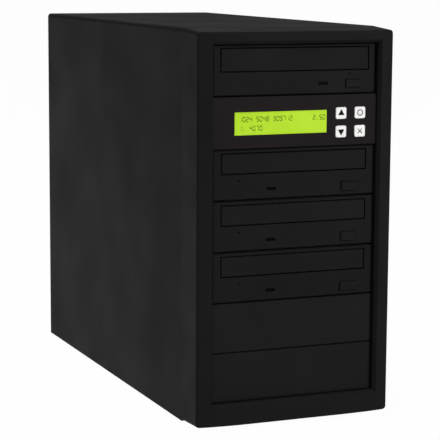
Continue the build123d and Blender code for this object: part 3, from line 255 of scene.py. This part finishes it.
def rolled_plating(name, colours, stretch=(1, 0.06, 1)):
    material, tree, shader, place = start_material(name, colours[0], 0.35, metallic=1.0)
    along = add_node(tree, "ShaderNodeMapping", [("Vector", place)], scale=stretch)
    lines = add_node(
        tree,
        "ShaderNodeTexNoise",
        [("Vector", along.outputs["Vector"])],
        scale=per_metre(0.8),
        detail=3.0,
    )
    tint(tree, shader, colours, lines.outputs["Fac"])
    gloss = add_node(
        tree, "ShaderNodeMapRange", [("Value", lines.outputs["Fac"])], to_min=0.28, to_max=0.46
    )
    tree.links.new(gloss.outputs["Result"], shader.inputs["Roughness"])
    emboss(tree, shader, lines.outputs["Fac"], 0.01, 0.4)
    return material


def nickel(name, colour, roughness):
    material, tree, shader, place = start_material(name, colour, roughness, metallic=1.0)
    gloss = drift(tree, place, 4, roughness - 0.06, roughness + 0.1)
    tree.links.new(gloss, shader.inputs["Roughness"])
    return material


# Die-cast zinc is a plain, darker grey, with no rolling lines. Nickel is bright and slightly warm, and
# drawn aluminium is pale and softer.
galvanised = spangled_zinc("galvanised_sheet", ("#8F9294", "#A9ACAE"))
plated = rolled_plating("zinc_plated_shell", ("#A3A5A4", "#B9BBB9"))
cast_zinc = rolled_plating("die_cast_zinc", ("#7C7E80", "#8E9092"), (1, 1, 1))
screw_nickel = nickel("nickel_plate", "#B8B6B0", 0.28)
wire_nickel = nickel("nickel_wire", "#C4C3BF", 0.22)
can_aluminium = nickel("drawn_aluminium_can", "#B9BCBE", 0.34)

# %% [markdown]
# ## Display, boards and cables
# The display is a yellow-green panel lit from its edge, behind clear acrylic, so its colour is partly
# its own light. The circuit boards are glass-epoxy under green solder resist, with copper tracks
# that show as slightly raised lighter lines; a brick pattern with thin joints makes such tracks.
# The cables are soft vinyl.


# %% Display, boards and cables
DISPLAY_GLOW = 0.32


def lit_display(name, colours):
    material, tree, shader, place = start_material(name, colours[0], 0.3, specular=0.03)
    tint(tree, shader, colours, drift(tree, place, 50, 0.0, 1.0, detail=1.0))
    shader.inputs["Emission Color"].default_value = linear(colours[0])
    shader.inputs["Emission Strength"].default_value = DISPLAY_GLOW
    return material


def circuit_board(name, colours):
    material, tree, shader, place = start_material(name, colours[0], 0.35, specular=0.5)
    tracks = add_node(
        tree,
        "ShaderNodeTexBrick",
        [("Vector", place)],
        scale=per_metre(9),
        mortar_size=0.03,
        mortar_smooth=0.2,
        color1=(0, 0, 0, 1),
        color2=(0.2, 0.2, 0.2, 1),
        mortar=(1, 1, 1, 1),
    )
    tint(tree, shader, colours, tracks.outputs["Color"])
    emboss(tree, shader, tracks.outputs["Fac"], 0.03, 0.5)
    return material


def sheath(name, colours):
    material, tree, shader, place = start_material(name, colours[0], 0.45, specular=0.4)
    tint(tree, shader, colours, drift(tree, place, 12, 0.0, 1.0))
    ribs = add_node(tree, "ShaderNodeTexNoise", [("Vector", place)], scale=per_metre(1.5), detail=2.0)
    emboss(tree, shader, ribs.outputs["Fac"], 0.03, 0.5)
    return material


def moulded_lens(name, colour, specular):
    material, tree, shader, place = start_material(name, colour, 0.15, specular)
    tree.links.new(drift(tree, place, 3, 0.12, 0.22), shader.inputs["Roughness"])
    return material


# Smoked acrylic is nearly black and smooth, the coated lens shows a deep blue, the chips' epoxy is
# dark and dull, and the printed inks are flat.
display_lit = lit_display("backlit_display", ("#98BD26", "#A2C72E"))
board_green = circuit_board("green_solder_resist", ("#0E3A22", "#1C5A36"))
red_sheath = sheath("red_vinyl_sheath", ("#8E1C18", "#A3241E"))
black_sheath = sheath("black_vinyl_sheath", ("#161616", "#222222"))
smoked_lens = moulded_lens("smoked_acrylic", "#080808", 0.01)
coated_glass = moulded_lens("coated_lens_glass", "#1B2A5C", 0.6)
chip_black = spark_grain("moulded_chip_epoxy", ("#151617", "#1B1C1D"), 0.5, 0.3, 0.6, 0.02)
print_dark = spark_grain("dark_display_dots", ("#0E2408", "#12290A"), 0.5, 0.02, 0.6, 0.01)
print_black = spark_grain("black_screen_print", ("#0A0A0A", "#0E0E0E"), 0.5, 0.02, 0.6, 0.01)
print_grey = spark_grain("grey_pad_print", ("#303030", "#383838"), 0.5, 0.02, 0.6, 0.01)

# %% [markdown]
# Each node of the frame names a material slot in its record, and the slot says which finish it takes.
# A short table of slots is enough to dress the whole frame.

# %% Dress the frame
slot_finish = {
    "black_painted_steel": black_paint,
    "black_moulded_plastic": frame_plastic,
    "black_drive_plastic": drive_plastic,
    "blank_cover_plastic": blank_plastic,
    "panel_overlay": overlay,
    "display_glass": display_lit,
    "display_module": chip_black,
    "white_key_plastic": key_plastic,
    "smoked_lens": smoked_lens,
    "galvanised_steel": galvanised,
    "zinc_plated_steel": plated,
    "screw_steel": screw_nickel,
    "guard_wire": wire_nickel,
    "fan_plastic": fan_plastic,
    "tray_plastic": tray_plastic,
    "deck_plastic": deck_plastic,
    "spindle_plastic": cast_zinc,
    "sled_metal": cast_zinc,
    "circuit_board": board_green,
    "socket_plastic": socket_plastic,
    "cable_red": red_sheath,
    "cable_black": black_sheath,
    "foot_rubber": foot_rubber,
}
slot_of = {entry["node"]: entry["material_slot"] for entry in frame["record"]["subparts"]}


def dress(piece, material):
    """Gives a piece one finish."""
    piece.data.materials.clear()
    piece.data.materials.append(material)


for name, node in nodes.items():
    dress(node, slot_finish[slot_of[name]])

print("dressed", len(nodes), "nodes from", len(slot_finish), "slots")

# %% [markdown]
# ## The display's characters
# The display is a dot matrix: every character is a block of five by seven dots. Text could be used,
# but its smooth letters would give the display away as printed. Here a grid has one face for each
# dot, the faces that stay unlit are deleted, and the rest are inset, so that thin gaps part the dots.
# The figures are built as calculators build them, from seven strokes.

# %% The display's characters
STROKES = {
    "0": "abcdef",
    "1": "bc",
    "2": "abged",
    "3": "abgcd",
    "4": "fgbc",
    "5": "afgcd",
    "6": "afgedc",
    "7": "abc",
    "8": "abcdefg",
    "9": "abcdfg",
    ".": "p",
    " ": "",
}
DOTS_WIDE = 5
DOTS_HIGH = 7
DOT_WIDTH = 0.5 * MM
DOT_HEIGHT = 0.62 * MM
DOT_GAP = 0.02 * MM
INK = 0.04 * MM


def stroke_holds(stroke, column, row):
    """True where a stroke of a seven-stroke figure passes through a dot, counted from the top left."""
    middle, last = DOTS_HIGH // 2, DOTS_HIGH - 1
    level = {"a": 0, "g": middle, "d": last}
    if stroke in level:
        return row == level[stroke] and 0 < column < DOTS_WIDE - 1
    if stroke == "p":
        return row == last and column == DOTS_WIDE // 2
    side = DOTS_WIDE - 1 if stroke in "bc" else 0
    return column == side and (0 < row < middle if stroke in "bf" else middle < row < last)


def dot_is_lit(text, column, row):
    """True where the dot at a column of the whole line belongs to a figure."""
    figure, place = divmod(column, DOTS_WIDE + 1)
    return any(stroke_holds(stroke, place, row) for stroke in STROKES[text[figure]])


def start_piece(name):
    """Names the primitive that was just added and returns it."""
    piece = bpy.context.active_object
    piece.name = name
    piece.data.name = name
    return piece


def put(piece, place):
    """Moves a flat piece drawn in X and Y to a place on the front, upright, and bakes its place."""
    piece.rotation_euler = (math.pi / 2, 0, 0)
    piece.location = place
    bpy.ops.object.select_all(action="DESELECT")
    piece.select_set(True)
    bpy.context.view_layer.objects.active = piece
    bpy.ops.object.transform_apply(location=True, rotation=True, scale=True)


def finish_piece(piece, material, body):
    """Gives a piece its finish and the body that it rides on."""
    dress(piece, material)
    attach(piece, body)
    print(piece.name, "faces", len(piece.data.polygons), "rides", body)


def line_of_figures(name, text, left, top, front):
    """One line of lit dots, with its top left corner at left and top."""
    columns = len(text) * (DOTS_WIDE + 1) - 1
    bpy.ops.object.select_all(action="DESELECT")
    bpy.ops.mesh.primitive_grid_add(x_subdivisions=columns, y_subdivisions=DOTS_HIGH, size=1)
    line = start_piece(name)
    bpy.ops.object.mode_set(mode="EDIT")
    bpy.ops.mesh.select_mode(type="FACE")
    bpy.ops.mesh.select_all(action="DESELECT")
    bpy.ops.object.mode_set(mode="OBJECT")
    for face in line.data.polygons:
        column = int((face.center.x + 0.5) * columns)
        row = int((0.5 - face.center.y) * DOTS_HIGH)
        face.select = not dot_is_lit(text, column, row)
    bpy.ops.object.mode_set(mode="EDIT")
    bpy.ops.mesh.delete(type="FACE")
    bpy.ops.object.mode_set(mode="OBJECT")
    line.scale = (columns * DOT_WIDTH, DOTS_HIGH * DOT_HEIGHT, 1)
    bpy.ops.object.transform_apply(location=True, rotation=True, scale=True)
    bpy.ops.object.mode_set(mode="EDIT")
    bpy.ops.mesh.select_all(action="SELECT")
    bpy.ops.mesh.inset(thickness=DOT_GAP, use_individual=True)
    bpy.ops.mesh.select_all(action="INVERT")
    bpy.ops.mesh.delete(type="FACE")
    bpy.ops.mesh.select_all(action="SELECT")
    bpy.ops.mesh.extrude_region_move(TRANSFORM_OT_translate={"value": (0, 0, INK)})
    bpy.ops.object.mode_set(mode="OBJECT")
    width, height = columns * DOT_WIDTH, DOTS_HIGH * DOT_HEIGHT
    put(line, (left + width / 2, front, top - height / 2))
    finish_piece(line, print_dark, "chassis")


MARGIN_LEFT = 4.2 * MM
FIRST_LINE_DROP = 3.7 * MM
SECOND_LINE_DROP = 11.2 * MM
glass_low, glass_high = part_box("lcd_glass")
line_of_figures(
    "display_first_line",
    "1024 5048 309712      2.50",
    glass_low.x + MARGIN_LEFT,
    glass_high.z - FIRST_LINE_DROP,
    glass_low.y,
)
line_of_figures(
    "display_second_line",
    "1. 4070",
    glass_low.x + MARGIN_LEFT,
    glass_high.z - SECOND_LINE_DROP,
    glass_low.y,
)

# %% [markdown]
# ## Marks on the keys
# The four keys carry printed marks. Two are arrows, which are circles of three points. The other two
# are a ring and a cross, in thin grey lines. Each mark is a film a few hundredths of a millimetre
# thick, extruded so that it is a closed piece, and rides with its own key.

# %% Marks on the keys
ARROW_RADIUS = 3.4 * MM
RING_RADIUS = 2.7 * MM
LINE_WIDTH = 0.75 * MM


def thicken():
    """Extrudes the flat piece that is being edited into a film of ink, closed on both sides."""
    bpy.ops.mesh.select_all(action="SELECT")
    bpy.ops.mesh.extrude_region_move(TRANSFORM_OT_translate={"value": (0, 0, INK)})
    bpy.ops.mesh.select_all(action="SELECT")
    bpy.ops.mesh.normals_make_consistent(inside=False)
    bpy.ops.object.mode_set(mode="OBJECT")


def arrow_mark(name, turned):
    bpy.ops.object.select_all(action="DESELECT")
    bpy.ops.mesh.primitive_circle_add(vertices=3, radius=ARROW_RADIUS, fill_type="NGON")
    mark = start_piece(name)
    bpy.ops.object.mode_set(mode="EDIT")
    if turned:
        bpy.ops.transform.rotate(value=math.pi, orient_axis="Z", center_override=(0, 0, 0))
    thicken()
    return mark


def ring_mark(name):
    bpy.ops.object.select_all(action="DESELECT")
    bpy.ops.mesh.primitive_circle_add(vertices=40, radius=RING_RADIUS, fill_type="NGON")
    mark = start_piece(name)
    bpy.ops.object.mode_set(mode="EDIT")
    bpy.ops.mesh.select_all(action="SELECT")
    bpy.ops.mesh.inset(thickness=LINE_WIDTH)
    bpy.ops.mesh.delete(type="FACE")
    thicken()
    return mark


def cross_mark(name):
    """A square is cut into nine, and the middle one's neighbours are drawn out into four arms."""
    bpy.ops.object.select_all(action="DESELECT")
    bpy.ops.mesh.primitive_plane_add(size=LINE_WIDTH)
    mark = start_piece(name)
    bpy.ops.object.mode_set(mode="EDIT")
    for direction in ((1, 0), (0, 1), (-1, 0), (0, -1)):
        bpy.ops.mesh.select_mode(type="EDGE")
        bpy.ops.mesh.select_all(action="DESELECT")
        bpy.ops.object.mode_set(mode="OBJECT")
        half = LINE_WIDTH / 2
        for edge in mark.data.edges:
            ends = [mark.data.vertices[index].co for index in edge.vertices]
            middle = (ends[0] + ends[1]) / 2
            across = middle.x * direction[0] + middle.y * direction[1]
            aside = middle.x * direction[1] + middle.y * direction[0]
            edge.select = abs(across - half) < half / 10 and abs(aside) < half / 10
        bpy.ops.object.mode_set(mode="EDIT")
        reach = RING_RADIUS - half
        bpy.ops.mesh.extrude_region_move(
            TRANSFORM_OT_translate={"value": (direction[0] * reach, direction[1] * reach, 0)}
        )
    bpy.ops.mesh.select_mode(type="VERT")
    bpy.ops.mesh.select_all(action="SELECT")
    bpy.ops.transform.rotate(value=math.pi / 4, orient_axis="Z", center_override=(0, 0, 0))
    thicken()
    return mark


key_marks = {
    "key_up": (arrow_mark("up_arrow", False), print_black),
    "key_down": (arrow_mark("down_arrow", True), print_black),
    "key_enter": (ring_mark("enter_ring"), print_grey),
    "key_escape": (cross_mark("escape_cross"), print_grey),
}
for key, (mark, ink) in key_marks.items():
    low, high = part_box(key)
    put(mark, ((low.x + high.x) / 2, low.y, (low.z + high.z) / 2))
    finish_piece(mark, ink, key)

# %% [markdown]
# ## The eject mark, the lenses and the turntables' rings
# The reader has a small eject mark printed on its face above the button: a triangle over a bar.
# Inside each drive, the laser sled carries a lens that is a low dome of glass, and the turntable has
# a thin rubber ring that grips the disc. A dome is a disc whose face is inset and raised in steps,
# each step smaller than the one before.

# %% The eject mark, the lenses and the turntables' rings
MARK_RADIUS = 0.85 * MM
MARK_SHIFT = 1.3 * MM
MARK_RISE = 3.4 * MM
BAR_DROP = 0.4 * MM
BAR_SLIM = 0.3  # the bar's height as a share of a square's
LENS_RADIUS = 1.9 * MM
LENS_FOOT = 0.15 * MM
LENS_STEPS = ((0.35, 0.22), (0.5, 0.16), (0.5, 0.08))  # each one's inset and rise, in millimetres
HUB_HEIGHT = 2.0 * MM
RING_OUTSIDE = 13.8 * MM
RING_BAND = 2.2 * MM
RUBBER = 0.3 * MM
DRIVES = ("reader", "writer_1", "writer_2", "writer_3")


def start_disc(name, radius, sides):
    """A filled circle, left in edit mode with all of it selected."""
    bpy.ops.object.select_all(action="DESELECT")
    bpy.ops.mesh.primitive_circle_add(vertices=sides, radius=radius, fill_type="NGON")
    piece = start_piece(name)
    bpy.ops.object.mode_set(mode="EDIT")
    bpy.ops.mesh.select_mode(type="FACE")
    bpy.ops.mesh.select_all(action="SELECT")
    return piece


def lift(height):
    """Extrudes what is selected upwards and keeps the new end selected."""
    bpy.ops.mesh.extrude_region_move(TRANSFORM_OT_translate={"value": (0, 0, height)})


def close_piece(piece, smooth_degrees=None):
    """Turns the normals outward, leaves edit mode and smooths the gentle edges."""
    bpy.ops.mesh.select_all(action="SELECT")
    bpy.ops.mesh.normals_make_consistent(inside=False)
    bpy.ops.object.mode_set(mode="OBJECT")
    if smooth_degrees:
        bpy.ops.object.shade_smooth_by_angle(angle=math.radians(smooth_degrees))


def seat(piece, place):
    """Moves a piece that lies flat to its place and bakes it."""
    piece.location = place
    bpy.ops.object.select_all(action="DESELECT")
    piece.select_set(True)
    bpy.context.view_layer.objects.active = piece
    bpy.ops.object.transform_apply(location=True, rotation=True, scale=True)


button_low, button_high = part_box("reader_eject_button")
face_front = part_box("reader_face")[0].y
eject_mark = arrow_mark("reader_eject_mark", False)
eject_mark.scale = (MARK_RADIUS / ARROW_RADIUS, MARK_RADIUS / ARROW_RADIUS, 1)
mark_x = (button_low.x + button_high.x) / 2 + MARK_SHIFT
put(eject_mark, (mark_x, face_front, button_high.z + MARK_RISE))
finish_piece(eject_mark, print_black, "chassis")
eject_bar = start_disc("reader_eject_bar", MARK_RADIUS, 4)
bpy.ops.transform.rotate(value=math.pi / 4, orient_axis="Z", center_override=(0, 0, 0))
bpy.ops.transform.resize(value=(1, BAR_SLIM, 1))
thicken()
put(eject_bar, (mark_x, face_front, button_high.z + MARK_RISE - MARK_RADIUS / 2 - BAR_DROP))
finish_piece(eject_bar, print_black, "chassis")

for drive in DRIVES:
    low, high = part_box(f"{drive}_laser_sled")
    lens = start_disc(f"{drive}_lens", LENS_RADIUS, 32)
    lift(LENS_FOOT)
    for inset, rise in LENS_STEPS:
        bpy.ops.mesh.inset(thickness=inset * MM)
        bpy.ops.transform.translate(value=(0, 0, rise * MM))
    close_piece(lens, 50)
    seat(lens, ((low.x + high.x) / 2, (low.y + high.y) / 2, high.z))
    finish_piece(lens, coated_glass, f"{drive}_laser_sled")
    low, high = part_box(f"{drive}_spindle")
    ring = start_disc(f"{drive}_turntable_ring", RING_OUTSIDE, 64)
    bpy.ops.mesh.inset(thickness=RING_BAND)
    bpy.ops.mesh.delete(type="FACE")
    bpy.ops.mesh.select_all(action="SELECT")
    lift(RUBBER)
    close_piece(ring, 50)
    seat(ring, ((low.x + high.x) / 2, (low.y + high.y) / 2, high.z - HUB_HEIGHT))
    finish_piece(ring, foot_rubber, f"{drive}_spindle")

# %% [markdown]
# ## Parts on the controller board
# The solids give the board its three chips and its row of sockets. A real one also carries a few
# electrolytic cans and a crystal, so a short row of them stands ahead of the chips. A can has a
# grooved neck near its foot. It is a disc that is lifted in steps and drawn in and out between them,
# and its top is inset and let down a little. The crystal is a flattened can.

# %% Parts on the controller board
PORT_HEIGHT = 9.0 * MM
# Across and along the board, then radius and height, all in millimetres.
CAN_SPOTS = ((-54, 20, 4.0, 8.5), (-42, 20, 4.0, 8.5), (-6, 18, 3.2, 7.0), (10, 18, 3.2, 7.0))
CRYSTAL_SPOT = (34, 30)
CRYSTAL_RADIUS = 5.2 * MM
CRYSTAL_HEIGHT = 3.4 * MM
CRYSTAL_SLIM = 0.42  # its width as a share of its length
NECK = 0.35 * MM
FOOT = 1.2 * MM
BRIM = 0.5 * MM

board_low, board_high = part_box("controller_board")
board_middle = (board_low.x + board_high.x) / 2
board_top = board_high.z - PORT_HEIGHT


def can(name, radius, height, sides=40):
    """A drawn can: a foot, a narrow neck, a straight body and a rolled brim."""
    piece = start_disc(name, radius, sides)
    slim = (radius - NECK) / radius
    body = height - FOOT - 3 * NECK
    for rise, share in ((FOOT, 1), (NECK, slim), (NECK, 1 / slim), (body, 1), (NECK, slim)):
        lift(rise)
        bpy.ops.transform.resize(value=(share, share, 1))
    bpy.ops.mesh.inset(thickness=BRIM)
    bpy.ops.transform.translate(value=(0, 0, -NECK / 2))
    return piece


for index, (x, y, radius, height) in enumerate(CAN_SPOTS):
    capacitor = can(f"board_can_{index + 1}", radius * MM, height * MM)
    close_piece(capacitor, 40)
    seat(capacitor, (board_middle + x * MM, board_low.y + y * MM, board_top))
    finish_piece(capacitor, can_aluminium, "chassis")

crystal = can("board_crystal", CRYSTAL_RADIUS, CRYSTAL_HEIGHT)
bpy.ops.mesh.select_all(action="SELECT")
bpy.ops.transform.resize(value=(1, CRYSTAL_SLIM, 1), center_override=(0, 0, 0))
close_piece(crystal, 40)
seat(crystal, (board_middle + CRYSTAL_SPOT[0] * MM, board_low.y + CRYSTAL_SPOT[1] * MM, board_top))
finish_piece(crystal, can_aluminium, "chassis")

# %% [markdown]
# ## Light, floor and background
# The photograph is cut out on white, with soft light that falls more on the top and the left side
# than on the front. A large soft lamp above and to the left does that, with a second one on the
# right, in an even, dim surround. A faint third lamp behind lifts the top, which the camera sees at
# a low angle. White shows behind the object because the wide floor is white to the camera and to
# reflections, apart from a small share that stays plain and keeps the shadow.


# %% Light, floor and background
SURROUND = 0.16
FLOOR_WHITE = 0.98
FLOOR_WIDTH = 60
AIM_HEIGHT = 0.16


def soft_lamp(name, place, size, watts):
    """A square lamp, size metres wide, that points at the middle of the tower."""
    bpy.ops.object.light_add(type="AREA", location=place)
    lamp = bpy.context.active_object
    lamp.name = name
    lamp.data.size = size
    lamp.data.energy = watts
    aim = Vector((0, 0, AIM_HEIGHT)) - Vector(place)
    lamp.rotation_euler = aim.to_track_quat("-Z", "Y").to_euler()
    print(name, watts, "watts")


world = bpy.data.worlds.new("studio")
scene.world = world
world.use_nodes = True
world.node_tree.nodes["Background"].inputs["Color"].default_value = (1, 1, 1, 1)
world.node_tree.nodes["Background"].inputs["Strength"].default_value = SURROUND

bpy.ops.object.select_all(action="DESELECT")
bpy.ops.mesh.primitive_plane_add(size=FLOOR_WIDTH, location=(0, 0, 0))
floor = bpy.context.active_object
floor.name = "floor"
floor_material, floor_tree, floor_shader, _ = start_material("pale_floor", "#D8D8D8", 0.9, 0.0)
rays = add_node(floor_tree, "ShaderNodeLightPath")
mirrored = add_node(
    floor_tree,
    "ShaderNodeMath",
    [(0, rays.outputs["Is Camera Ray"]), (1, rays.outputs["Is Glossy Ray"])],
    operation="MAXIMUM",
)
seen = add_node(
    floor_tree,
    "ShaderNodeMath",
    [(0, mirrored.outputs["Value"]), (1, rays.outputs["Is Transmission Ray"])],
    operation="MAXIMUM",
)
share = add_node(floor_tree, "ShaderNodeMath", [(0, seen.outputs["Value"])], operation="MULTIPLY")
share.inputs[1].default_value = FLOOR_WHITE
glow = add_node(floor_tree, "ShaderNodeEmission", color=(1, 1, 1, 1), strength=1.0)
floor_mix = add_node(floor_tree, "ShaderNodeMixShader", [(0, share.outputs["Value"])])
floor_tree.links.new(floor_shader.outputs["BSDF"], floor_mix.inputs[1])
floor_tree.links.new(glow.outputs["Emission"], floor_mix.inputs[2])
floor_output = floor_tree.nodes["Material Output"]
floor_tree.links.new(floor_mix.outputs["Shader"], floor_output.inputs["Surface"])
dress(floor, floor_material)

soft_lamp("key_from_the_left", (-1.0, -0.5, 3.4), size=1.8, watts=102)
soft_lamp("fill_from_the_right", (1.6, -2.4, 1.0), size=1.8, watts=60)
soft_lamp("rim_from_behind", (0.7, 2.4, 1.9), size=2.6, watts=3.5)
